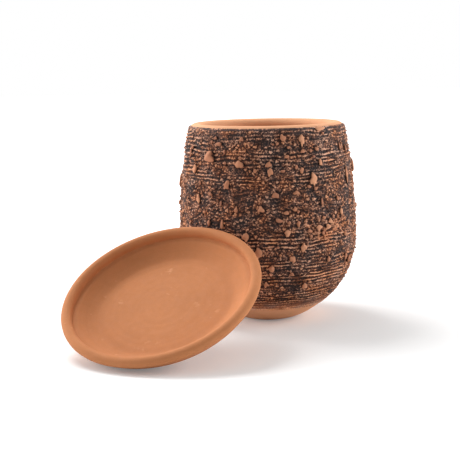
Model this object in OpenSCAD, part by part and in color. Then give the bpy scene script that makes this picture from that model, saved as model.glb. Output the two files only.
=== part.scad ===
// Hand-built clay planter with a rough coat, and its loose saucer.
// The pot stands on its foot with its axis on Z and the middle of its foot at the origin.
// The saucer leans against the pot's front left side, with its dish towards the front (-Y).
// Angles round the pot count from the front: positive to the right (+X), negative to the left.

/* [Pot body] */
// Height of the pot, to the crest of its lip
pot_h = 155; // [125:1:190]
// Diameter of the bare body at its widest
belly_d = 136; // [112:1:165]
// Height of the widest place
belly_z = 66; // [55:1:80]
// How far the wall draws in from the belly up to the lip
neck_inset = 8; // [4:0.5:16]
// Diameter of the flat foot
foot_d = 43; // [34:1:60]
// Thickness of the thrown wall
wall_t = 8; // [5:0.5:10]
// Thickness of the floor inside
floor_t = 9; // [6:0.5:12]
// Thickness of the rolled lip
lip_t = 11.5; // [9:0.5:14]
// How far the rolled lip stands out from the wall under it
lip_overhang = 1.3; // [0.8:0.1:2]
// Diameter of the drain hole in the foot
drain_d = 14; // [8:1:20]

/* [Rough coat] */
// Thickness of the coat on the belly and the sides
coat_t = 2; // [1.5:0.1:3.5]
// Thickness of the coat at its edges
coat_edge_t = 0.6; // [0.4:0.1:1.2]
// Height of the coat's lower edge
coat_bottom = 13; // [8:1:25]
// Bare height left above the coat, up to the crest of the lip
coat_lip_gap = 2; // [1.5:0.1:5.5]

/* [Clay pellets] */
// Thickness of coat left behind each pellet
pellet_backing = 0.3; // [0.2:0.1:0.6]
// Number of pellets on the back half
back_pellets = 40; // [10:1:60]
// Smallest pellet on the back half
pellet_min_d = 3; // [2.5:0.1:4]
// Largest pellet on the back half
pellet_max_d = 5; // [4:0.1:6]
// Pellet that the saucer's lip rests on
prop_pellet_d = 5; // [4.5:0.1:6]

/* [Saucer] */
// Diameter of the saucer over its lip
saucer_d = 146; // [120:1:176]
// Height of the saucer
saucer_h = 22.5; // [19:0.5:28]
// Diameter of the flat underside
saucer_base_d = 94; // [80:1:110]
// Thickness of the side
saucer_wall = 6.5; // [5:0.5:9]
// Thickness of the floor
saucer_floor = 7.5; // [6:0.5:10]
// Thickness of the rolled lip
saucer_lip_t = 7.8; // [6:0.2:10]
// Outward bulge of the side, from the base edge to the lip
saucer_bulge = 3; // [2:0.1:4]

/* [Leaning saucer] */
// Tilt of the saucer from level
lean_tilt = 30; // [22:1:40]
// Way the dish slopes down, left of the front
lean_turn = 24; // [10:1:40]
// Place on the pot where the lip rests, left of the front
lean_place = 44; // [30:1:60]
// Clearance between the lip and the pellet that it rests on
lean_gap = 0.4; // [0.3:0.1:1]

/* [Hidden] */

fine = 240;
pellet_fine = 32;
cut = 1;
smear_steps = 8;
bowl_steps = 24;
side_steps = 16;

belly_r = belly_d / 2;
foot_r = foot_d / 2;
neck_r = belly_r - neck_inset;
lip_z = pot_h - lip_t / 2;
lip_x = neck_r + lip_overhang - lip_t / 2;
coat_top = pot_h - coat_lip_gap;

// Radius at height z of an arc that stands upright at the belly and ends at (end_r, end_z)
function arc_at(z, wide_r, end_r, end_z) =
    let (
        centre = (wide_r * wide_r - end_r * end_r - pow(end_z - belly_z, 2)) / (2 * (wide_r - end_r)),
        radius = wide_r - centre
    )
    centre + sqrt(radius * radius - pow(z - belly_z, 2));

// A face of revolution is [lowest height, radius there, radius at the belly, radius at the lip]
function face_at(face, z) = z < belly_z
    ? arc_at(z, face[2], face[1], face[0])
    : arc_at(z, face[2], face[3], lip_z);

// Heights up a face, closer together where the bowl curves in
function levels(low, top) = concat(
    [for (i = [0 : bowl_steps - 1]) low + (belly_z - low) * (1 - cos(90 * i / bowl_steps))],
    [for (i = [0 : side_steps]) belly_z + (top - belly_z) * i / side_steps]
);
function face_points(face, top) = [for (z = levels(face[0], top)) [face_at(face, z), z]];

// Outside of the bare wall, inside of the wall, and outside of the coat
wall_face = [0, foot_r, belly_r, neck_r];
room_face = [floor_t, foot_r, belly_r - wall_t, neck_r - wall_t];
smear_r = lip_t / 2 + coat_edge_t;
coat_face = [coat_bottom, face_at(wall_face, coat_bottom) + coat_edge_t, belly_r + coat_t, lip_x + smear_r];

// Above the middle of the lip's roll, the coat is wiped thin over the roll
smear_top = asin((coat_top - lip_z) / smear_r);
smear_points = [
    for (i = [1 : smear_steps])
        let (a = smear_top * i / smear_steps)
        [lip_x + smear_r * cos(a), lip_z + smear_r * sin(a)]
];

// The saucer's side is an arc from its base edge to a place under its lip, in shares of the lip's radius
under_lip_out = 0.5;
under_lip_down = 0.7;
saucer_base_r = saucer_base_d / 2;
saucer_lip_r = saucer_lip_t / 2;
saucer_lip_x = saucer_d / 2 - saucer_lip_r;
saucer_lip_z = saucer_h - saucer_lip_r;
side_run = [
    saucer_lip_x + under_lip_out * saucer_lip_r - saucer_base_r,
    saucer_lip_z - under_lip_down * saucer_lip_r
];
side_chord = norm(side_run);
saucer_side_r = (pow(side_chord / 2, 2) + pow(saucer_bulge, 2)) / (2 * saucer_bulge);
side_mid = [saucer_base_r, 0] + side_run / 2;
side_in = [-side_run[1], side_run[0]] / side_chord;
saucer_side_at = side_mid + side_in * (saucer_side_r - saucer_bulge);

// The tilted saucer stands on its side's arc, and its lip reaches back to the pot
rest_lift = saucer_side_r + saucer_side_at[0] * sin(lean_tilt) - saucer_side_at[1] * cos(lean_tilt);
lip_reach = saucer_lip_x * cos(lean_tilt) - saucer_lip_z * sin(lean_tilt) + saucer_lip_r;
lip_rest_z = rest_lift + saucer_lip_x * sin(lean_tilt) + saucer_lip_z * cos(lean_tilt);

// Distance of a pellet's centre from the pot's axis, with its backing of coat under it
function pellet_at(z, d) = face_at(wall_face, z) + pellet_backing + d / 2;

downhill = [-sin(lean_turn), -cos(lean_turn)];
prop_out = pellet_at(lip_rest_z, prop_pellet_d);
prop_xy = prop_out * [-sin(lean_place), -cos(lean_place)];
saucer_xy = prop_xy + downhill * (prop_pellet_d / 2 + lean_gap + lip_reach);

// The larger pellets on the front half: angle, share of the pot's height, diameter
front_pellets = [
    [-63, 0.87, 3.6], [-55, 0.79, 4.6], [-49, 0.65, 4.8], [-41, 0.85, 5.4], [-34, 0.91, 4.2],
    [-26, 0.72, 4.6], [-18, 0.82, 5.2], [-17, 0.94, 3.6], [-19, 0.61, 3.8], [-13, 0.48, 5],
    [-6, 0.40, 5.4], [-7, 0.79, 3.6], [-4, 0.61, 4.4], [-1, 0.24, 4], [2, 0.32, 4.6],
    [2, 0.80, 4.8], [11, 0.94, 4.4], [12, 0.49, 4.6], [13, 0.85, 3.8], [15, 0.37, 4.6],
    [17, 0.61, 4], [22, 0.42, 5], [24, 0.93, 4.8], [25, 0.22, 4.6], [30, 0.74, 5.4],
    [33, 0.51, 4.6], [37, 0.82, 4], [41, 0.53, 4.4], [41, 0.35, 4], [50, 0.64, 4],
    [53, 0.57, 4.6], [59, 0.34, 4.4], [64, 0.74, 4.8], [88, 0.78, 4.8], [-88, 0.71, 5],
];

// Evenly scattered places for the pellets on the back half: first angle, sweep, lowest share and rise
back_from = 100;
back_sweep = 160;
back_low = 0.17;
back_rise = 0.76;
golden = (sqrt(5) - 1) / 2;
function part_of(x) = x - floor(x);
function back_angle(i) = back_from + back_sweep * part_of((i + 1) * golden);
function back_share(i) = back_low + back_rise * (i + 0.5) / back_pellets;
function back_size(i) = pellet_min_d + (pellet_max_d - pellet_min_d) * part_of(i * sqrt(2));

module lip_roll() {
    translate([lip_x, lip_z]) circle(d = lip_t, $fn = fine);
}

// A ball sunk into the coat
module pellet(angle, z, d) {
    rotate([0, 0, angle]) translate([0, -pellet_at(z, d), z]) sphere(d = d, $fn = pellet_fine);
}

// Thrown vessel: bowl, sides and rolled lip in one piece, with a drain hole
module pot_body() {
    color("peru") difference() {
        rotate_extrude($fn = fine) {
            difference() {
                polygon(concat([[0, 0]], face_points(wall_face, lip_z), [[0, lip_z]]));
                polygon(concat([[0, floor_t]], face_points(room_face, lip_z), [[0, lip_z]]));
            }
            lip_roll();
        }
        translate([0, 0, -cut]) cylinder(d = drain_d, h = floor_t + 2 * cut, $fn = fine);
    }
}

// Thick slip laid on the outside of the vessel, thinning out over the bowl and on the lip
module slip_coat() {
    color("saddlebrown") rotate_extrude($fn = fine) difference() {
        polygon(concat([[0, coat_bottom]], face_points(coat_face, lip_z), smear_points, [[0, coat_top]]));
        polygon(concat([[0, 0]], face_points(wall_face, lip_z), [[neck_r, pot_h], [0, pot_h]]));
        lip_roll();
    }
}

// Balls of clay pressed into the coat
module clay_pellets() {
    color("sandybrown") {
        pellet(-lean_place, lip_rest_z, prop_pellet_d);
        for (p = front_pellets) pellet(p[0], p[1] * pot_h, p[2]);
        for (i = [0 : back_pellets - 1]) pellet(back_angle(i), back_share(i) * pot_h, back_size(i));
    }
}

// Shallow dish on its own axis, standing on its flat underside
module saucer_dish() {
    rotate_extrude($fn = fine) {
        difference() {
            saucer_face(0);
            intersection() {
                saucer_face(saucer_wall);
                translate([0, saucer_floor]) square([saucer_d, saucer_h]);
            }
        }
        translate([saucer_lip_x, saucer_lip_z]) circle(r = saucer_lip_r, $fn = fine);
    }
}

// The dish's outline, offset inwards, up to the middle of its lip
module saucer_face(inset) {
    intersection() {
        union() {
            translate(saucer_side_at) circle(r = saucer_side_r - inset, $fn = fine);
            translate([0, inset]) square([saucer_side_at[0], saucer_h]);
        }
        square([saucer_d, saucer_lip_z]);
    }
}

// The saucer as it leans on the pot
module saucer() {
    color("peru") translate([saucer_xy[0], saucer_xy[1], rest_lift])
        rotate([0, 0, -lean_turn]) rotate([lean_tilt, 0, 0]) saucer_dish();
}

pot_body();
slip_coat();
clay_pellets();
saucer();
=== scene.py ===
import math

import bpy
import numpy as np
from mathutils import Matrix, Vector


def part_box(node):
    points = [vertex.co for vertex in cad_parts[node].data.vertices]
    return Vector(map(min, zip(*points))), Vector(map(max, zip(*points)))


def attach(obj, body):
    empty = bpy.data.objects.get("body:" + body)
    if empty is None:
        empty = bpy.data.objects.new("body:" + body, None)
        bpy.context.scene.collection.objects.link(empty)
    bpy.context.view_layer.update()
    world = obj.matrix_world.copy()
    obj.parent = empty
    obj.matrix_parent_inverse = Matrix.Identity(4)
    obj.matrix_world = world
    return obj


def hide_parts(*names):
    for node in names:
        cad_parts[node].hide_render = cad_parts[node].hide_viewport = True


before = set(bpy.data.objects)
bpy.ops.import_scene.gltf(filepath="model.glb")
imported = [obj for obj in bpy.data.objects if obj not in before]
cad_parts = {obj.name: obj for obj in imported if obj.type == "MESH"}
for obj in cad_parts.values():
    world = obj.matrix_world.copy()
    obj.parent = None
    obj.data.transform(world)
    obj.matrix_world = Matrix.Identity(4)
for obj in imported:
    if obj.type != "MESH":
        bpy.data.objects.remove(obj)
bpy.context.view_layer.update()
bpy.ops.object.select_all(action="DESELECT")


# ---------------------------------------------------------------- pot body
# A terracotta vessel thrown on the wheel in one piece: a bowl-shaped bottom, an upright side that draws
# in a little, and a fat rolled lip. A drain hole is cut through its floor while the clay is soft.

mm = 0.001
pot_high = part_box("pot_body")[1]
pot_h = pot_high.z / mm
belly_r = pot_high.x / mm
belly_z = 66
neck_inset = 8
neck_r = belly_r - neck_inset
wall = 8
foot_r = 21.5
floor_z = 9
drain_r = 7
lip_r = 5.75
lip_overhang = 1.3
lip_x = neck_r + lip_overhang - lip_r
lip_z = pot_h - lip_r
turns = 192
ring_step = 2.0


def swell(z, wide_r, end_r, end_z):
    """Radius at height z of an arc that stands upright at the belly and ends at end_r, end_z."""
    middle = (wide_r**2 - end_r**2 - (end_z - belly_z) ** 2) / (2 * (wide_r - end_r))
    return middle + np.sqrt((wide_r - middle) ** 2 - (z - belly_z) ** 2)


def face_at(z, low_r, low_z, wide_r, high_r):
    """Radius at height z of a face that swells from its low edge to the belly and draws in to the lip."""
    z = np.asarray(z, float)
    below = swell(np.minimum(z, belly_z), wide_r, low_r, low_z)
    above = swell(np.maximum(z, belly_z), wide_r, high_r, lip_z)
    return np.where(z < belly_z, below, above)


def wall_at(z):
    return face_at(z, foot_r, 0, belly_r, neck_r)


def arc(middle, radius, start, stop, steps):
    """Places along an arc, with its angles in degrees from straight outwards, upwards positive."""
    angle = np.radians(np.linspace(start, stop, steps))
    return np.column_stack([middle[0] + radius * np.cos(angle), middle[1] + radius * np.sin(angle)])


def even(outline, step, soften):
    """Spaces a closed outline evenly and rounds its corners, as wet fingers do."""
    closed = np.vstack([outline, outline[:1]])
    run = np.concatenate([[0], np.cumsum(np.hypot(*np.diff(closed, axis=0).T))])
    places = np.linspace(0, run[-1], int(run[-1] / step), endpoint=False)
    spaced = np.column_stack([np.interp(places, run, closed[:, k]) for k in (0, 1)])
    for _ in range(soften):
        spaced = (np.roll(spaced, 1, 0) + 2 * spaced + np.roll(spaced, -1, 0)) / 4
    return spaced


map_rim = 0.004


def lay_out(piece, around, along):
    """Gives a thrown piece its flat map: once round it is 0 to 1 across, and along its outline is up."""
    mesh = piece.data
    corner = np.empty(len(mesh.loops), int)
    mesh.loops.foreach_get("vertex_index", corner)
    size = np.empty(len(mesh.polygons), int)
    mesh.polygons.foreach_get("loop_total", size)
    face = np.repeat(np.arange(len(size)), size)
    flat = []
    for share in (around, along):
        place = share[corner]
        low = np.full(len(size), np.inf)
        high = np.full(len(size), -np.inf)
        np.fmin.at(low, face, place)
        np.fmax.at(high, face, place)
        crosses = (high - low > 0.5)[face]
        place = np.where(crosses & (place < 0.5), place + 1, place)
        known = ~np.isnan(place)
        total = np.bincount(face[known], place[known], len(size))
        count = np.bincount(face[known], minlength=len(size))
        place = np.where(known, place, (total / np.maximum(count, 1))[face])
        flat.append(map_rim + (1 - 2 * map_rim) * place)
    layer = mesh.uv_layers.new(name="OFBake")
    layer.uv.foreach_set("vector", np.column_stack(flat).ravel())


pole = 0.01


def throw(name, outline):
    """Turns an outline of radius and height (mm) into a thrown piece, and keeps where each bit was."""
    bpy.ops.mesh.primitive_circle_add(vertices=len(outline), radius=1)
    piece = bpy.context.object
    piece.name = name
    upright = np.column_stack([outline[:, 0], np.zeros(len(outline)), outline[:, 1]]) * mm
    piece.data.vertices.foreach_set("co", upright.ravel())
    bpy.ops.object.mode_set(mode="EDIT")
    bpy.ops.mesh.select_all(action="SELECT")
    bpy.ops.mesh.spin(steps=turns, angle=2 * math.pi, center=(0, 0, 0), axis=(0, 0, 1))
    bpy.ops.mesh.select_all(action="SELECT")
    bpy.ops.mesh.remove_doubles(threshold=0.02 * mm)
    bpy.ops.mesh.normals_make_consistent(inside=False)
    bpy.ops.object.mode_set(mode="OBJECT")
    bpy.ops.object.shade_smooth()
    place = places_of(piece)
    radius = np.hypot(place[:, 0], place[:, 1])
    around = np.arctan2(place[:, 1], place[:, 0]) / (2 * math.pi) + 0.5
    around[radius < pole] = np.nan
    gap = (radius[:, None] - outline[:, 0]) ** 2 + (place[:, 2][:, None] - outline[:, 1]) ** 2
    lay_out(piece, around % 1, gap.argmin(1) / len(outline))
    kept = piece.data.attributes.new("thrown_at", "FLOAT_VECTOR", "POINT")
    kept.data.foreach_set("vector", (place * mm).ravel())
    return piece


def places_of(piece):
    """Where the piece's points are, in millimetres."""
    flat = np.empty(len(piece.data.vertices) * 3)
    piece.data.vertices.foreach_get("co", flat)
    return flat.reshape(-1, 3) / mm


def put(piece, place):
    piece.data.vertices.foreach_set("co", (place * mm).ravel())
    piece.data.update()


firm_foot = 20
steady_r = 30


def fingers(piece, height, pitch, wobble, seed):
    """Leaves the faint ridges of the potter's fingers, and the slight lean of a hand-thrown wall."""
    place = places_of(piece)
    radius = np.maximum(np.hypot(place[:, 0], place[:, 1]), 0.001)
    angle = np.arctan2(place[:, 1], place[:, 0])
    dice = np.random.default_rng(seed)
    ridge = np.zeros(len(place))
    for share in (1, 1.7, 2.9):
        turn = dice.uniform(0, 2 * math.pi)
        ridge += np.sin(2 * math.pi * (place[:, 2] + 0.6 * radius) / (pitch * share) + angle + turn) / 3
    lean = wobble * np.sin(2 * angle + dice.uniform(0, 6))
    lean += 0.5 * wobble * np.sin(3 * angle + dice.uniform(0, 6))
    normal = np.empty(len(place) * 3)
    piece.data.vertices.foreach_get("normal", normal)
    normal = normal.reshape(-1, 3)
    grow = 1 + lean * np.clip(place[:, 2] / firm_foot, 0, 1) / np.maximum(radius, steady_r)
    place[:, 0] *= grow
    place[:, 1] *= grow
    put(piece, place + normal * (height * ridge)[:, None])


# The lip's roll runs from under its outside, over its crest, to under its inside
roll_low = -38
roll_in = 232
outer_z = np.linspace(0, lip_z + lip_r * math.sin(math.radians(roll_low)), 90)
inner_z = np.linspace(lip_z + lip_r * math.sin(math.radians(roll_in)), floor_z, 90)
pot_outline = np.vstack([
    [[drain_r, 0]],
    np.column_stack([wall_at(outer_z), outer_z]),
    arc((lip_x, lip_z), lip_r, roll_low, roll_in, 40),
    np.column_stack([face_at(inner_z, foot_r, floor_z, belly_r - wall, neck_r - wall), inner_z]),
    [[drain_r, floor_z]],
])
pot = throw("thrown_pot", even(pot_outline, ring_step, soften=2))
fingers(pot, height=0.10, pitch=5.0, wobble=0.12, seed=3)


def fired(red, green, blue):
    """A fired colour, from the values 0 to 255 that a paint chart gives."""
    share = np.array([red, green, blue]) / 255
    light = np.where(share <= 0.04045, share / 12.92, ((share + 0.055) / 1.055) ** 2.4)
    return (*[float(x) for x in light], 1.0)


def add(tree, kind, sockets=None, **fields):
    """Adds a node, sets its fields, and joins or sets its sockets."""
    made = tree.nodes.new("ShaderNode" + kind)
    for field, value in fields.items():
        setattr(made, field, value)
    for socket, value in (sockets or {}).items():
        if isinstance(value, bpy.types.NodeSocket):
            tree.links.new(value, made.inputs[socket])
        else:
            made.inputs[socket].default_value = value
    return made


def grade(tree, share, stops):
    """A smooth run of colours along a share from 0 to 1."""
    made = add(tree, "ValToRGB", {"Fac": share})
    ramp = made.color_ramp
    while len(ramp.elements) < len(stops):
        ramp.elements.new(0.5)
    for element, (place, colour) in zip(ramp.elements, stops):
        element.position = place
        element.color = colour
    return made.outputs["Color"]


def grey(level):
    return (level, level, level, 1.0)


def tint(tree, kind, share, first, second):
    """Lays one colour over another, in the way that kind names."""
    sockets = {"Fac": share, "Color1": first, "Color2": second}
    return add(tree, "MixRGB", sockets, blend_type=kind).outputs["Color"]


def terracotta(name, clay, pale, dusty):
    """Bare fired clay: clouded colour, fine grain, faint throwing rings and a few pale scuffs."""
    finish = bpy.data.materials.new(name)
    finish.use_nodes = True
    tree = finish.node_tree
    tree.nodes.clear()
    where = add(tree, "Attribute", attribute_name="thrown_at").outputs["Vector"]

    def lumps(scale, detail, vector=where, rough=0.5):
        sockets = {"Vector": vector, "Scale": scale, "Detail": detail, "Roughness": rough}
        return add(tree, "TexNoise", sockets).outputs["Fac"]

    split = add(tree, "SeparateXYZ", {"Vector": where})
    flat = add(tree, "CombineXYZ", {"X": split.outputs["X"], "Y": split.outputs["Y"]})
    out = add(tree, "VectorMath", {0: flat.outputs[0]}, operation="LENGTH").outputs["Value"]
    turned = add(tree, "CombineXYZ", {"X": out, "Z": split.outputs["Z"]}).outputs[0]
    rings = lumps(330, 2, turned)
    grain = lumps(2100, 2)
    colour = clay
    for share, low, dark, high, light in (
        (lumps(26, 3), 0.3, 0.95, 0.7, 1.03),
        (lumps(190, 4), 0.3, 0.975, 0.7, 1.02),
        (rings, 0.35, 0.98, 0.65, 1.015),
        (grain, 0.3, 0.95, 0.7, 1.04),
    ):
        cloud = grade(tree, share, [(low, grey(dark)), (high, grey(light))])
        colour = tint(tree, "MULTIPLY", 1.0, colour, cloud)
    scuff = grade(tree, lumps(75, 3, rough=0.7), [(0.66, grey(0)), (0.76, grey(dusty))])
    colour = tint(tree, "MIX", scuff, colour, pale)
    deep = 0.12 * mm
    wheel = add(tree, "Bump", {"Strength": 0.5, "Distance": deep, "Height": rings}).outputs[0]
    tooth = add(tree, "Bump", {"Strength": 0.6, "Distance": deep, "Height": grain, "Normal": wheel})
    rough = grade(tree, lumps(240, 2), [(0.3, grey(0.78)), (0.7, grey(0.92))])
    surface = add(tree, "BsdfPrincipled", {
        "Base Color": colour,
        "Roughness": rough,
        "Specular IOR Level": 0.35,
        "Normal": tooth.outputs[0],
    })
    add(tree, "OutputMaterial", {"Surface": surface.outputs[0]})
    return finish


def give(piece, finish, body):
    """Finishes a piece, and fixes it to what carries it."""
    piece.data.materials.clear()
    piece.data.materials.append(finish)
    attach(piece, body)


# The pot's clay is set lighter than the saucer's, though both are the same clay: partly painted light,
# standing in for the light from the back that falls on the pot's lip.
pot_clay_painted_lighter = terracotta("bare_terracotta_painted_lighter", fired(230, 169, 127), fired(244, 198, 160), 0.25)
give(pot, pot_clay_painted_lighter, "pot")
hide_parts("pot_body")


# ---------------------------------------------------------------- rough coat
# Thick slip laid on the outside and dragged with a comb and a stiff brush, with grit in it. It is stained
# nearly black and wiped, so its high places are clay-coloured and its hollows stay dark.

coat_low = 13
coat_lip_gap = 2
coat_high = pot_h - coat_lip_gap
coat_thick = 2
coat_belly = belly_r + coat_thick
coat_edge = 0.6
columns = 1200
rows = 460
coat_round = 2 * math.pi * coat_belly
coat_foot = float(wall_at(coat_low)) + coat_edge


def coat_at(z):
    """Radius of the coat at height z: it thins over the bowl, and hugs the upper half of the lip's roll."""
    smear_r = lip_r + coat_edge
    side = face_at(np.minimum(z, lip_z), coat_foot, coat_low, coat_belly, lip_x + smear_r)
    over = lip_x + np.sqrt(smear_r**2 - np.clip(z - lip_z, 0, lip_r) ** 2)
    return np.where(z < lip_z, side, over)


def ease(low, high, value):
    """0 below low, 1 above high, and a soft rise between."""
    share = np.clip((value - low) / (high - low), 0, 1)
    return share * share * (3 - 2 * share)


run_below = 40
run_whole = 260


def slip(seed, across, up, wide, tall):
    """Smooth lumps about wide by tall millimetres, from -1 to 1, that meet themselves round the pot."""
    cells = max(2, round(coat_round / wide))
    u = across / coat_round * cells
    v = (up + run_below) / tall
    i = np.floor(u).astype(int)
    j = np.floor(v).astype(int)
    u = u - i
    v = v - j
    dice = np.random.default_rng(seed)
    slope = dice.uniform(0, 2 * math.pi, (int(run_whole / tall) + 3, cells))
    lean_x = np.cos(slope)
    lean_y = np.sin(slope)
    near = [1 - ease(0, 1, u), ease(0, 1, u)]
    level = [1 - ease(0, 1, v), ease(0, 1, v)]
    total = 0
    for b in (0, 1):
        for a in (0, 1):
            at = (j + b, (i + a) % cells)
            total = total + near[a] * level[b] * (lean_x[at] * (u - a) + lean_y[at] * (v - b))
    return np.clip(total * 1.7, -1, 1)


fine_z = np.linspace(coat_low, coat_high, 3000)
fine_run = np.concatenate([[0], np.cumsum(np.hypot(np.diff(coat_at(fine_z)), np.diff(fine_z)))])
row_run = np.linspace(0, fine_run[-1], rows + 1)
row_z = np.interp(row_run, fine_run, fine_z)
row_r = coat_at(row_z)
turn = np.arange(columns) * 2 * math.pi / columns
across, up = np.meshgrid(turn * coat_belly, row_run)
height = np.repeat(row_z[:, None], columns, 1)


def crest(seed, across, up, wide, tall, sharp=0.8):
    """Thin ridges that a comb or a brush drags up, about wide by tall millimetres apart, from -1 to 1."""
    return 1 - 2 * np.abs(slip(seed, across, up, wide, tall)) ** sharp


# Where the comb ran, and where the coat was only stippled and swirled
tooth_gap = 2.9
combed_above = (106, 118)
combed_below = (84, 68)
patch = slip(21, across, up, 36, 16)
combed = 0.85 * ease(*combed_above, height) + ease(*combed_below, height) + 0.40 * patch
combed = np.clip(combed, 0.10, 1)
bent_up = up + 2.0 * slip(12, across, up, 46, 21) + 0.6 * slip(13, across, up, 14, 8)
swirl_x = across + 5.5 * slip(16, across, up, 13, 13)
swirl_y = up + 5.5 * slip(17, across, up, 13, 13)
humps = 0.30 * slip(11, across, up, 17, 11) - 0.3
teeth = np.sin(2 * math.pi / tooth_gap * (bent_up + 0.40 * slip(41, across, up, 17, 5)))
passes = ease(-0.42, 0.14, slip(42, across, up, 64, 10)) * (0.75 + 0.25 * slip(43, across, up, 11, 1.6))
drawn = combed * passes
comb = 0.74 * teeth * passes
comb += 0.30 * crest(14, across, bent_up, 26, 3.3) + 0.22 * slip(15, across, bent_up, 9, 1.25)
swirl = 0.50 * crest(18, swirl_x, swirl_y, 8, 3.6, 0.6)
swirl += 0.36 * crest(28, swirl_x, swirl_y, 4.4, 3.2, 0.6) - 0.10

# Grit and sand in the slip, smooth slate-dark places, and how clean each place was wiped
grit = slip(19, across, up, 2.1, 1.7)
sand = slip(20, across, up, 1.2, 1.0)
dust = slip(22, across, up, 0.95, 0.85)
slate = ease(0.30, 0.55, slip(44, across, up, 15, 6.5)) * (0.35 + 0.65 * combed)
gritty = (0.36 - 0.20 * drawn) * grit + 0.30 * sand + 0.20 * dust
relief = combed * comb + (1 - combed) * swirl + gritty - 0.12
flattened = 0.5
relief = np.where(relief > flattened, flattened + 0.5 * (relief - flattened), relief) - 0.34 * slate
broad = 0.08 * slip(23, across, up, 28, 14) - 0.14 * slate
wiped = 0.04 + 0.96 * ease(-0.62, 0.66, relief + 0.26 * dust + 0.10 * sand + broad)


def press(angle, z, wide, tall, rise, tone, crisp=1.0):
    """Raises or sinks a soft-edged spot of the coat, and leaves it wiped or stained."""
    x = math.radians(angle) % (2 * math.pi) * coat_belly
    y = np.interp(z, row_z, row_run)
    c = round(x / coat_round * columns)
    r = round(y / row_run[-1] * rows)
    c_reach = int(wide / coat_round * columns) + 2
    r_reach = int(tall / row_run[-1] * rows) + 2
    some_c = np.arange(c - c_reach, c + c_reach + 1)
    some_r = np.arange(max(0, r - r_reach), min(rows, r + r_reach) + 1)
    dx = some_c * coat_round / columns - x
    dy = row_run[some_r] - y
    away = np.hypot(dx[None, :] / wide, dy[:, None] / tall)
    bearing = np.arctan2(dy[:, None] / tall, dx[None, :] / wide)
    away = away / (1 + 0.20 * np.cos(3 * bearing + 7 * angle) + 0.12 * np.cos(5 * bearing + 5 * z))
    share = np.clip(crisp * (1 - away**2), 0, 1)
    spot = np.ix_(some_r, some_c % columns)
    relief[spot] += rise * share
    wiped[spot] = wiped[spot] * (1 - share) + tone * share


# Pits where grit was dragged out by the comb, still full of stain
dice = np.random.default_rng(31)
pits = 1500
for _ in range(pits):
    size = 0.5 + 0.9 * dice.random() ** 2
    place = dice.uniform(coat_low + 10, coat_high - 2)
    press(dice.uniform(0, 360), place, size * dice.uniform(1, 2.4), 0.8 * size, -0.45, 0.0, 1.8)

# Grit in the slip: crumbs of fired clay that the wiping has cleaned, the larger ones in a dark hollow
small_crumbs = 2501
large_crumbs = 799
for k in range(small_crumbs + large_crumbs):
    large = k >= small_crumbs
    size = dice.uniform(0.8, 1.5) if large else dice.uniform(0.45, 0.8)
    place = (dice.uniform(0, 360), dice.uniform(coat_low + 9, coat_high - 2))
    wide = size * dice.uniform(0.8, 1.5)
    tall = size * dice.uniform(0.7, 1.2)
    if large:
        press(*place, 1.6 * wide, 1.6 * tall, -0.25, 0.06, 1.6)
    cleaned = dice.uniform(0.85, 1) if large else dice.uniform(0.5, 0.9)
    press(*place, wide, tall, dice.uniform(0.4, 0.9), cleaned, 2.4)

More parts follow.
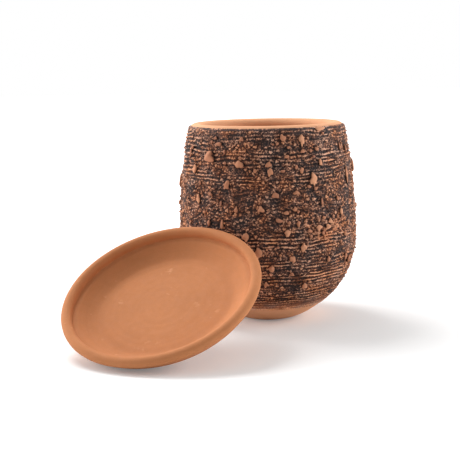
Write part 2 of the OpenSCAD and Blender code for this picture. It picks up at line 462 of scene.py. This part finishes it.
# Pellets: angle from the front (right positive), height, width and height of the pellet, corners, tone
pellets = [
    (-61, 138, 3, 3, 0, 0.6), (-63, 134, 2.2, 7, 0, 0.6), (-55, 122, 5, 7, 4, 0.9),
    (-41, 132, 9, 9, 3, 0.7), (-34, 141.5, 5.5, 3.5, 4, 0.6), (-37, 146, 2.5, 2.5, 0, 0.5),
    (-40, 143, 2.5, 2.5, 0, 0.5), (-17, 145.5, 3, 4, 3, 0.6), (-29, 136, 2, 4, 0, 0.5),
    (-17.5, 132, 3, 2.5, 0, 0.6), (-18, 127, 6, 6, 4, 0.8), (-28, 128, 2.5, 2.5, 3, 0.5),
    (-7.5, 122.5, 3, 3.5, 0, 0.7), (1, 127, 5, 4, 3, 0.7), (2, 121.5, 4, 6.5, 4, 0.8),
    (-26, 112, 4.5, 7, 2, 0.7), (-48, 112, 2, 4, 0, 0.6), (-38, 104.5, 3, 3, 3, 0.6),
    (-49, 100, 4, 7, 4, 1.0), (-30, 98.5, 2, 3, 0, 0.5), (-19.5, 94, 3, 5, 3, 0.7),
    (-4, 94.5, 4.5, 5, 3, 0.8), (-39, 83, 3, 5, 0, 0.6), (-29, 82.5, 3, 7, 2, 0.7),
    (-13.5, 74, 5, 7, 4, 0.9), (-6, 62, 6, 9, 3, 0.8), (-55, 57, 3, 3, 0, 0.6),
    (-35, 50.5, 8, 8, 5, 0.7), (-46, 43, 5, 4, 3, 0.6), (-30, 56, 3, 2, 0, 0.5),
    (-19, 54, 3, 3, 4, 0.6), (2, 50, 5, 5, 0, 0.8), (-1.5, 37.5, 4, 4, 3, 0.7), (-16, 27, 3, 4, 0, 0.6),
    (-38, 27, 3, 3, 0, 0.5), (11, 146, 4.5, 5, 3, 0.7), (24, 144, 4, 9, 4, 1.0),
    (42, 148, 2.5, 2.5, 0, 0.6), (7, 142, 2.5, 2.5, 0, 0.6), (4, 141.5, 2, 2, 0, 0.5),
    (14.5, 139, 3, 2.2, 0, 0.6), (24, 136, 4, 3, 3, 0.7), (35, 137, 4, 3, 4, 0.7),
    (30, 136, 2.5, 3, 0, 0.6), (13, 132.5, 4, 3, 3, 0.7), (32, 131.5, 3, 2.5, 0, 0.4),
    (37, 127, 3, 6, 0, 0.9), (19, 124.5, 2.5, 4, 0, 0.6), (22.5, 122, 3.5, 5, 4, 0.7),
    (10, 122, 3.5, 2.5, 0, 0.6), (30.5, 115, 5.5, 9.5, 4, 1.0), (27, 110, 4, 2.5, 3, 0.6),
    (31.5, 108, 3, 3, 0, 0.6), (59, 137, 2.2, 6, 0, 0.7), (68, 135, 2.2, 6, 0, 0.6),
    (64, 115, 3, 13, 0, 0.8), (5, 104.5, 6, 4, 5, 0.6), (18, 106, 5, 3, 3, 0.7), (50, 99, 3, 4, 0, 0.7),
    (36, 98, 2.5, 5, 0, 0.6), (17, 94, 4, 3.5, 4, 0.7), (11.5, 91.5, 4, 3.5, 3, 0.7),
    (19, 92, 2.5, 2.5, 0, 0.6), (53, 88.5, 3.5, 6, 4, 1.0), (7, 86, 6, 3.5, 3, 0.6),
    (37, 86, 4, 2.5, 4, 0.7), (13, 84, 3, 3, 0, 0.6), (19, 83, 3, 5, 4, 0.7), (42, 83, 4, 4, 3, 0.9),
    (33, 79, 6, 4, 4, 0.9), (40, 79, 5, 4, 3, 0.9), (26, 77, 5, 3, 3, 0.7), (12, 76.5, 5, 5, 0, 0.9),
    (36, 74.5, 3, 3, 0, 0.7), (27, 73, 3, 3, 4, 0.6), (57, 71, 3, 4, 0, 0.7), (52, 66, 2.5, 3, 0, 0.6),
    (22, 65, 4.5, 7, 4, 0.9), (6, 66, 3, 2, 0, 0.5), (15, 57, 5, 5, 0, 0.8), (41, 54, 3, 5, 3, 0.7),
    (59, 53, 3, 6, 0, 0.7), (65, 50, 3, 6, 0, 0.6), (15, 45, 4, 3, 3, 0.6), (25.5, 34.5, 5, 5, 0, 0.8),
    (88, 120, 5, 9, 4, 0.8), (90, 88, 4, 4, 3, 0.7), (-88, 110, 5, 10, 4, 0.5), (-89, 92, 4, 4, 0, 0.6),
]
prop_pellet = (-44, 76.4, 5, 5, 0, 0.7)
pellets.append(prop_pellet)

# Where the right-hand side was wiped hardest, a network of clean crumbs stands out
dice = np.random.default_rng(37)
network = 170
network_angle = (38, 11)
network_z = (78, 5.5)
for _ in range(network):
    size = dice.uniform(0.6, 1.5)
    place = (dice.normal(*network_angle), dice.normal(*network_z))
    press(*place, 1.3 * size, 0.8 * size, 0.4, dice.uniform(0.75, 1), 2.2)

# The pellets on the far side are scattered evenly, with more small ones than large
dice = np.random.default_rng(44)
golden = (math.sqrt(5) - 1) / 2
back_count = 86
back_from = 98
back_sweep = 164
back_low = 26
back_rise = 122
for i in range(back_count):
    wide = 2.2 + 3.8 * dice.random() ** 1.8
    pellets.append((
        back_from + back_sweep * ((i + 1) * golden % 1),
        back_low + back_rise * (i + 0.5) / back_count,
        wide,
        wide * dice.uniform(0.8, 1.6),
        int(dice.integers(0, 6)),
        dice.uniform(0.5, 1),
    ))

# Each pellet sits in a stained hollow, with torn crumbs round its root
hollow_rim = 0.8
root = 0.66
crumb = 0.9
for angle, z, wide, tall, corners, tone in pellets:
    press(angle, z, 0.75 * wide + hollow_rim, 0.70 * tall + hollow_rim, -0.35, 0.0)
    for _ in range(int(0.7 * min(wide, tall))):
        bearing = dice.uniform(0, 2 * math.pi)
        aside = math.degrees(root * wide * math.cos(bearing) / coat_belly)
        press(angle + aside, z + root * tall * math.sin(bearing), crumb, crumb, 0.6, 0.9, 2.2)

# The coat thins to a smooth smear at its lower edge, and is wiped thin on the roll of the lip
rough_from = 15.5
rough_full = 23
clean_to = 13.2
clean_from = 19
top_thins = 9
edge = ease(rough_from, rough_full, height + 1.6 * slip(24, across, up, 22, 9))
top = ease(0, top_thins, coat_high - height)
relief = (relief + humps) * (0.12 + 0.88 * edge) * (0.20 + 0.80 * top)
thinning = ease(clean_from, clean_to, height + slip(29, across, up, 14, 6))
smear = 0.58 + 0.32 * thinning + 0.20 * slip(25, across, up, 30, 1.6) + 0.16 * slip(26, across, up, 9, 3)
wiped = wiped * edge + np.clip(smear, 0, 1) * (1 - edge)
deepest = -1.35
highest = 1.25
out = row_r[:, None] + np.clip(relief, deepest, highest)

# Its upper edge is ragged: past it, the skin is tucked under the face of the lip
tucked = 0.3
roll_least = 0.2
side_least = 0.25
roll_room = 2
ragged_by = 0.8
roll = lip_x + np.sqrt(lip_r**2 - np.clip(height - lip_z, 0, lip_r) ** 2)
ragged = ease(0, 0.6, coat_high - 0.4 + ragged_by * slip(27, across, up * 0, 8, 5) - height)
over_roll = np.maximum(out, roll + roll_least) - roll + tucked
out = np.where(height > lip_z, roll - tucked + over_roll * ragged, out)
wall_under = wall_at(np.minimum(height, lip_z))
out = np.maximum(out, wall_under + side_least - roll_room * (height > lip_z))
skin = np.stack([out * np.sin(turn), -out * np.cos(turn), height], -1)
east = np.roll(skin, -1, 1) - np.roll(skin, 1, 1)
north = np.gradient(skin, axis=0)
lie = np.cross(east, north)
lie /= np.linalg.norm(lie, axis=2, keepdims=True)

sides = ("front", "front_right", "back_right", "back", "back_left", "front_left")
sector = columns // len(sides)
coarse_c = 8
coarse_r = 10
back_c = np.arange(0, sector + 1, coarse_c)
back_r = np.arange(0, rows + 1, coarse_r)
first_c = -sector // 2
under_lip = 3
front_map_low = 0.04
back_map_high = 0.03
map_edge = 0.005


def coat_sector(name, start):
    """A sixth of the coat: its rough skin, a plain back that hugs the wall, and flat ends."""
    chosen = np.arange(start, start + sector + 1) % columns
    front = skin[:, chosen].reshape(-1, 3)
    face = lie[:, chosen].reshape(-1, 3)
    a = np.radians(360 / columns * (start + back_c))
    inside = wall_at(row_z[back_r])[:, None] - under_lip * (row_z[back_r] > lip_z)[:, None]
    back_z = np.repeat(row_z[back_r][:, None], len(a), 1)
    back = np.stack([inside * np.sin(a), -inside * np.cos(a), back_z], -1)
    level = 0 * inside
    hug = np.stack([level - np.sin(a), level + np.cos(a), level + 0 * a], -1)
    f = np.arange(len(front)).reshape(rows + 1, sector + 1)
    front_corners = 4 * rows * sector
    b = len(front) + np.arange(back.shape[0] * back.shape[1]).reshape(back.shape[:2])
    faces = np.stack([f[:-1, :-1], f[:-1, 1:], f[1:, 1:], f[1:, :-1]], -1).reshape(-1, 4).tolist()
    faces += np.stack([b[:-1, :-1], b[1:, :-1], b[1:, 1:], b[:-1, 1:]], -1).reshape(-1, 4).tolist()
    for k in range(len(back_c) - 1):
        span = np.arange(back_c[k], back_c[k + 1] + 1)
        faces.append([b[0, k], b[0, k + 1], *f[0, span[::-1]]])
        faces.append([b[-1, k + 1], b[-1, k], *f[-1, span]])
    for k in range(len(back_r) - 1):
        span = np.arange(back_r[k], back_r[k + 1] + 1)
        faces.append([b[k + 1, 0], b[k, 0], *f[span, 0]])
        faces.append([b[k, -1], b[k + 1, -1], *f[span[::-1], -1]])
    mesh = bpy.data.meshes.new(name)
    mesh.from_pydata((np.vstack([front, back.reshape(-1, 3)]) * mm).tolist(), [], faces)
    mesh.polygons.foreach_set("use_smooth", [True] * len(mesh.polygons))
    mesh.normals_split_custom_set_from_vertices(np.vstack([face, hug.reshape(-1, 3)]).tolist())
    piece = bpy.data.objects.new(name, mesh)
    bpy.context.collection.objects.link(piece)
    tone = mesh.attributes.new("wiped", "FLOAT", "POINT")
    tone.data.foreach_set("value", np.concatenate([wiped[:, chosen].ravel(), np.zeros(b.size)]))
    fu, fv = np.meshgrid(np.linspace(0, 1, sector + 1), np.linspace(front_map_low, 1, rows + 1))
    bu, bv = np.meshgrid(np.linspace(0, 1, len(back_c)), np.linspace(0, back_map_high, len(back_r)))
    u = np.concatenate([fu.ravel(), bu.ravel()])
    v = np.concatenate([fv.ravel(), bv.ravel()])
    corner = np.empty(len(mesh.loops), int)
    mesh.loops.foreach_get("vertex_index", corner)
    flat = np.column_stack([u[corner], v[corner]])
    ends = flat[front_corners:, 1]
    squeezed = (ends - front_map_low) / (1 - front_map_low) * back_map_high
    flat[front_corners:, 1] = np.where(ends >= front_map_low, squeezed, ends)
    layer = mesh.uv_layers.new(name="OFBake")
    layer.uv.foreach_set("vector", (map_edge + (1 - 2 * map_edge) * flat).ravel())
    return piece


def jostled(tree, share, speck, low, high, reach):
    """A share from 0 to 1, moved up and down by as much as reach where a noise runs from low to high."""
    sockets = {"Value": speck, "From Min": low, "From Max": high, "To Min": -reach, "To Max": reach}
    nudge = add(tree, "MapRange", sockets).outputs[0]
    return add(tree, "Math", {0: share, 1: nudge}, operation="ADD", use_clamp=True).outputs[0]


def stained(name):
    """Stained and wiped slip: the hollows keep the stain, and the high places show the clay."""
    finish = bpy.data.materials.new(name)
    finish.use_nodes = True
    tree = finish.node_tree
    tree.nodes.clear()
    where = add(tree, "TexCoord").outputs["Object"]
    share = add(tree, "Attribute", attribute_name="wiped").outputs["Fac"]

    def lumps(scale, detail):
        return add(tree, "TexNoise", {"Vector": where, "Scale": scale, "Detail": detail}).outputs["Fac"]

    speck = lumps(1300, 3)
    share = jostled(tree, share, speck, 0.3, 0.7, 0.22)
    ash = grade(tree, share, [
        (0.0, fired(33, 30, 32)),
        (0.25, fired(68, 54, 51)),
        (0.50, fired(100, 76, 68)),
        (0.75, fired(146, 110, 94)),
        (1.0, fired(244, 190, 160)),
    ])
    rust = grade(tree, share, [
        (0.0, fired(49, 29, 20)),
        (0.25, fired(84, 50, 36)),
        (0.50, fired(122, 75, 53)),
        (0.75, fired(172, 108, 74)),
        (1.0, fired(246, 172, 124)),
    ])
    rise = add(tree, "SeparateXYZ", {"Vector": where}).outputs["Z"]
    rusty_low = {"Value": rise, "From Min": 30 * mm, "From Max": 100 * mm, "To Min": 0.72, "To Max": 0.46}
    level = add(tree, "MapRange", rusty_low).outputs[0]
    rusty = jostled(tree, level, lumps(85, 4), 0.35, 0.65, 0.5)
    colour = tint(tree, "MIX", rusty, ash, rust)
    cloud = grade(tree, lumps(60, 3), [(0.3, grey(0.88)), (0.7, grey(1.08))])
    colour = tint(tree, "MULTIPLY", 1.0, colour, cloud)
    bump = add(tree, "Bump", {"Strength": 0.7, "Distance": 0.22 * mm, "Height": speck})
    rough = grade(tree, share, [(0.0, grey(0.72)), (1.0, grey(0.92))])
    surface = add(tree, "BsdfPrincipled", {
        "Base Color": colour,
        "Roughness": rough,
        "Specular IOR Level": 0.3,
        "Normal": bump.outputs[0],
    })
    add(tree, "OutputMaterial", {"Surface": surface.outputs[0]})
    return finish


coat_stain = stained("wiped_stain")
for k, side in enumerate(sides):
    piece = coat_sector("coat_" + side, first_c + k * sector)
    give(piece, coat_stain, "pot")
    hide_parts("slip_coat")


# ---------------------------------------------------------------- clay pellets
# Bits of soft clay thrown and pressed on the coat: round, three- and four-cornered and drawn-out ones.
# They were stained with the coat, and wiped clean on their faces, so only their roots are dark.

sink = 1.1
small = 3.6
least_proud = 0.5
proud_share = 0.27
prop_proud = 3.5
balls = []
for fineness in (2, 3):
    bpy.ops.mesh.primitive_ico_sphere_add(subdivisions=fineness, radius=1)
    ball = bpy.context.object
    balls.append((places_of(ball) * mm, [list(p.vertices)[::-1] for p in ball.data.polygons]))
    bpy.data.objects.remove(ball)
rise_r = np.gradient(row_r, row_run)
rise_z = np.gradient(row_z, row_run)


def pellet(ball, angle, z, wide, tall, corners, proud, dice):
    """A bit of clay squashed on the coat at an angle and a height; it wraps round the pot's side."""
    x, out, up = ball.T
    bearing = np.arctan2(up, x)
    lean = dice.uniform(-0.5, 0.5)
    outline = 1 + 0.09 * np.cos(corners * (bearing - math.pi / 2 + lean)) * (corners > 1)
    for wave, depth in ((2, 0.09), (3, 0.10), (4, 0.07), (5, 0.05), (7, 0.03)):
        outline = outline + depth * np.cos(wave * bearing + dice.uniform(0, 6))
    across = wide / 2 * x * outline * (1 - 0.22 * (corners == 3) * up)
    along = tall / 2 * up * outline + 0.12 * wide * lean * x
    tip = dice.uniform(-0.2, 0.2, 2)
    dents = np.sin(4.1 * x + dice.uniform(0, 6)) * np.sin(3.7 * up + dice.uniform(0, 6))
    face = (1 + tip[0] * x + tip[1] * up + 0.12 * dents) * np.clip(out, 0, 1) ** 0.6
    outwards = np.where(out > 0, proud * face / face.max(), sink * out)
    run = np.clip(np.interp(z, row_z, row_run) + along, 0, row_run[-1] + 3)
    radius = np.interp(run, row_run, row_r)
    height = np.interp(run, row_run, row_z) + np.maximum(run - row_run[-1], 0)
    side = np.interp(run, row_run, rise_z)
    slope = np.interp(run, row_run, rise_r)
    radius_out = radius + outwards * side
    height = height - outwards * slope
    turned = math.radians(angle) + across / radius
    place = np.column_stack([radius_out * np.sin(turned), -radius_out * np.cos(turned), height])
    return place, np.clip(outwards / proud, 0, 1)


# One flat torn bit lies on the roll of the lip, with no hollow round it
lip_bit = (40, 151.6, 10, 3.6, 4, 1.0)
pellets.append(lip_bit)

dice = np.random.default_rng(52)
points = []
faces = []
clean = []
tones = []
for spot in pellets:
    angle, z, wide, tall, corners, tone = spot
    proud = prop_proud if spot == prop_pellet else least_proud + proud_share * min(wide, tall)
    ball, ball_faces = balls[min(wide, tall) > small]
    place, face_share = pellet(ball, angle, z, wide, tall, corners, proud, dice)
    start = sum(len(p) for p in points)
    points.append(place)
    faces += [[start + k for k in f] for f in ball_faces]
    clean.append(face_share)
    tones.append(np.full(len(place), tone))
mesh = bpy.data.meshes.new("pressed_pellets")
mesh.from_pydata((np.vstack(points) * mm).tolist(), [], faces)
mesh.polygons.foreach_set("use_smooth", [True] * len(mesh.polygons))
mesh.attributes.new("wiped", "FLOAT", "POINT").data.foreach_set("value", np.concatenate(clean))
mesh.attributes.new("tone", "FLOAT", "POINT").data.foreach_set("value", np.concatenate(tones))
bits = bpy.data.objects.new("pressed_pellets", mesh)
bpy.context.collection.objects.link(bits)


def pressed(name):
    """Pellet clay: pale and a little pink on its face, stained where it meets the coat."""
    finish = bpy.data.materials.new(name)
    finish.use_nodes = True
    tree = finish.node_tree
    tree.nodes.clear()
    where = add(tree, "TexCoord").outputs["Object"]
    share = add(tree, "Attribute", attribute_name="wiped").outputs["Fac"]
    tone = add(tree, "Attribute", attribute_name="tone").outputs["Fac"]
    speck = add(tree, "TexNoise", {"Vector": where, "Scale": 900, "Detail": 3}).outputs["Fac"]
    share = jostled(tree, share, speck, 0.3, 0.7, 0.2)
    face = grade(tree, tone, [
        (0.4, fired(168, 113, 90)),
        (0.7, fired(194, 132, 100)),
        (1.0, fired(222, 159, 122)),
    ])
    clean = grade(tree, share, [(0.15, grey(0)), (0.6, grey(1))])
    colour = tint(tree, "MIX", clean, fired(58, 38, 31), face)
    bump = add(tree, "Bump", {"Strength": 0.6, "Distance": 0.2 * mm, "Height": speck})
    surface = add(tree, "BsdfPrincipled", {
        "Base Color": colour,
        "Roughness": 0.85,
        "Specular IOR Level": 0.3,
        "Normal": bump.outputs[0],
    })
    add(tree, "OutputMaterial", {"Surface": surface.outputs[0]})
    return finish


give(bits, pressed("pellet_faces"), "pot")
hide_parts("clay_pellets")


# ---------------------------------------------------------------- saucer
# A loose terracotta dish thrown from the same clay, with a curved side and a rolled lip. It stands on
# its side and leans back on one of the pot's pellets.

saucer_h = 22.5
saucer_r = 73
base_r = 47
dish_wall = 6.5
dish_floor = 7.5
dish_lip_r = 3.9
dish_lip = (saucer_r - dish_lip_r, saucer_h - dish_lip_r)
under_lip_out = 0.5
under_lip_down = 0.7
groove_down = 0.86
dish_roll_low = -40
dish_roll_in = 224
side_bulge = 3
lean_tilt = 30
lean_turn = 24
side_top = dish_lip[1] - under_lip_down * dish_lip_r
side_run = np.array([dish_lip[0] + under_lip_out * dish_lip_r - base_r, side_top])
chord = np.hypot(*side_run)
side_r = ((chord / 2) ** 2 + side_bulge**2) / (2 * side_bulge)
side_in = np.array([-side_run[1], side_run[0]]) / chord
side_at = np.array([base_r, 0]) + side_run / 2 + side_in * (side_r - side_bulge)


def side_angle(radius, z):
    return math.degrees(math.asin((z - side_at[1]) / radius))


# The lip is rolled over on itself, so a fine groove is left where it meets the inside
inner_r = side_r - dish_wall
inner_top = dish_lip[1] - groove_down * dish_lip_r
dish_outline = np.vstack([
    [[0, 0]],
    arc(side_at, side_r, side_angle(side_r, 0), side_angle(side_r, side_top), 40),
    arc(dish_lip, dish_lip_r, dish_roll_low, dish_roll_in, 34),
    arc(side_at, inner_r, side_angle(inner_r, inner_top), side_angle(inner_r, dish_floor), 30),
    [[0, dish_floor]],
])
dish_step = 1.1
axis_gap = 0.9
dish_spaced = even(dish_outline, dish_step, soften=1)
dish_spaced = dish_spaced[dish_spaced[:, 0] > axis_gap]
dish_spaced = np.vstack([[[0, 0]], dish_spaced, [[0, dish_floor]]])
dish = throw("thrown_saucer", dish_spaced)
fingers(dish, height=0.07, pitch=4.2, wobble=0.0, seed=8)
dish.data.transform(Matrix.Rotation(math.radians(lean_tilt), 4, "X"))
dish.data.transform(Matrix.Rotation(math.radians(-lean_turn), 4, "Z"))
saucer_low, saucer_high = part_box("saucer")
placed = places_of(dish) * mm
meant = (Vector(saucer_low) + Vector(saucer_high)) / 2
now = Vector((placed.min(0) + placed.max(0)) / 2)
dish.data.transform(Matrix.Translation(meant - now))
dish.data.update()
dish_clay = terracotta("saucer_terracotta", fired(196, 127, 81), fired(226, 166, 122), 0.5)
give(dish, dish_clay, "saucer")
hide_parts("saucer")


# ---------------------------------------------------------------- floor, light and camera
# A white table that runs on out of sight in a white room, a soft light over the back left and one at each
# side, and a camera a little above the pot's lip.

bpy.ops.mesh.primitive_plane_add(size=12)
table = bpy.context.object
table.name = "white_table"
white = bpy.data.materials.new("white_paper")
white.use_nodes = True
tree = white.node_tree
tree.nodes.clear()
seen = add(tree, "LightPath").outputs["Is Camera Ray"]
paper = add(tree, "BsdfDiffuse", {"Color": grey(0.86)})
spot = add(tree, "TexCoord").outputs["Object"]
away = add(tree, "VectorMath", {0: spot}, operation="LENGTH").outputs["Value"]
whiter_away = {"Value": away, "From Min": 0.25, "From Max": 0.8, "To Min": 0.16, "To Max": 1.0}
fade = add(tree, "MapRange", whiter_away).outputs[0]
lift = add(tree, "Math", {0: seen, 1: fade}, operation="MULTIPLY").outputs[0]
glow = add(tree, "Emission", {"Color": grey(1), "Strength": lift})
both = add(tree, "AddShader", {0: paper.outputs[0], 1: glow.outputs[0]})
add(tree, "OutputMaterial", {"Surface": both.outputs[0]})
table.data.materials.append(white)

# The room's walls light the pot from all round, and more from its sides and its back
walls_all = 0.36
walls_back = 0.26
walls_side = 0.35
sky = bpy.data.worlds.new("white_room")
bpy.context.scene.world = sky
sky.use_nodes = True
tree = sky.node_tree
tree.nodes.clear()
path = add(tree, "LightPath")
rays = {0: path.outputs["Is Camera Ray"], 1: path.outputs["Is Glossy Ray"]}
seen = add(tree, "Math", rays, operation="MAXIMUM")
way = add(tree, "SeparateXYZ", {"Vector": add(tree, "TexCoord").outputs["Generated"]})
side = add(tree, "Math", {0: way.outputs["X"]}, operation="ABSOLUTE").outputs[0]
from_back = {0: way.outputs["Y"], 1: walls_back, 2: walls_all}
back = add(tree, "Math", from_back, operation="MULTIPLY_ADD").outputs[0]
from_side = {0: side, 1: walls_side, 2: back}
lit = add(tree, "Math", from_side, operation="MULTIPLY_ADD").outputs[0]
level = add(tree, "MapRange", {"Value": seen.outputs[0], "To Min": lit, "To Max": 1.0})
room = add(tree, "Background", {"Color": grey(1), "Strength": level.outputs[0]})
add(tree, "OutputWorld", {"Surface": room.outputs[0]})


pot_middle = Vector((0, 0, 0.07))


def soft_light(name, place, size, power):
    """A soft square light at a place, turned to the pot."""
    lamp = bpy.data.lights.new(name, "AREA")
    lamp.shape = "SQUARE"
    lamp.size = size
    lamp.energy = power
    holder = bpy.data.objects.new(name, lamp)
    holder.location = place
    holder.rotation_euler = (pot_middle - Vector(place)).to_track_quat("-Z", "Y").to_euler()
    bpy.context.collection.objects.link(holder)


soft_light("over_back_left", (-0.6, 0.55, 1.3), 0.8, 18)
soft_light("left_side", (-1.3, 0.1, 0.5), 0.9, 9)
soft_light("right_side", (1.3, 0.1, 0.5), 0.9, 12)

eye = bpy.data.cameras.new("eye")
eye.lens = 86.16
camera = bpy.data.objects.new("eye", eye)
eye_place = (0, -0.8695, 0.2030)
look_left = Matrix.Rotation(math.radians(1.99), 4, "Z")
look_down = Matrix.Rotation(math.radians(90 - 8.76), 4, "X")
roll_right = Matrix.Rotation(math.radians(-1.09), 4, "Z")
camera.matrix_world = Matrix.Translation(eye_place) @ look_left @ look_down @ roll_right
bpy.context.collection.objects.link(camera)
bpy.context.scene.camera = camera
bpy.context.scene.view_settings.view_transform = "Standard"
